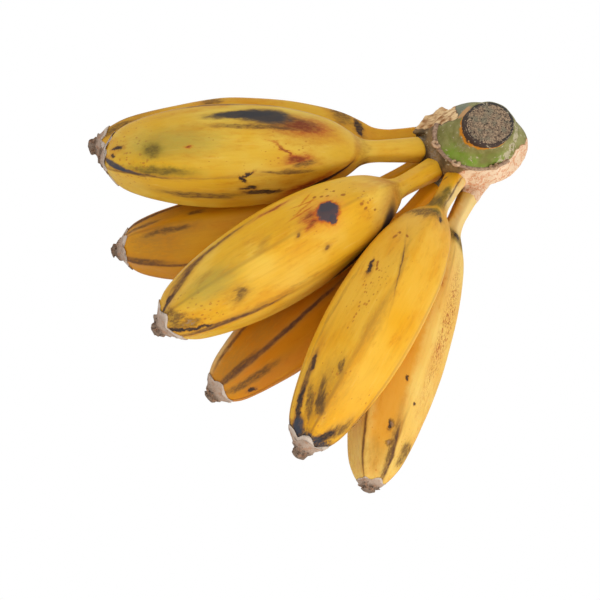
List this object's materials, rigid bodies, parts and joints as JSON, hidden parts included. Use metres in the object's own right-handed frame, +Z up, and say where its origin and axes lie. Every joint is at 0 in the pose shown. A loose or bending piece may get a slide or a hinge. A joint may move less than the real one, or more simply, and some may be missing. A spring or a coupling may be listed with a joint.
{
  "type": "hand of saba bananas",
  "caption": "A hand of short, thick, blunt-ridged saba bananas in two stacked rows on a cut crown, lying on its lower row.",
  "frame": {"origin": "under the middle of the whole hand's box, on the surface that the hand lies on", "axes": "+Z up from the surface; -X towards the tips of the back fingers; -Y towards the tips of the front fingers; the crown is at +X +Y"},
  "size_m": [0.2106, 0.2014, 0.0824],
  "materials": {
    "peel": "ripe yellow banana peel, waxy and satin, with dark bruises along its ridges",
    "stalk": "green to grey-brown fibrous fruit stalk with a dry brown cut end",
    "withered": "dry, papery beige and brown remains of the flower"
  },
  "bodies": {
    "root": {"crown": "stalk", "finger_lower_1": "peel", "finger_upper_1": "peel", "finger_lower_2": "peel", "finger_upper_2": "peel", "finger_lower_3": "peel", "finger_upper_3": "peel", "finger_lower_4": "peel", "blossom_end_lower_1": "withered", "blossom_end_upper_1": "withered", "blossom_end_lower_2": "withered", "blossom_end_upper_2": "withered", "blossom_end_lower_3": "withered", "blossom_end_upper_3": "withered", "blossom_end_lower_4": "withered"}
  },
  "joints": []
}
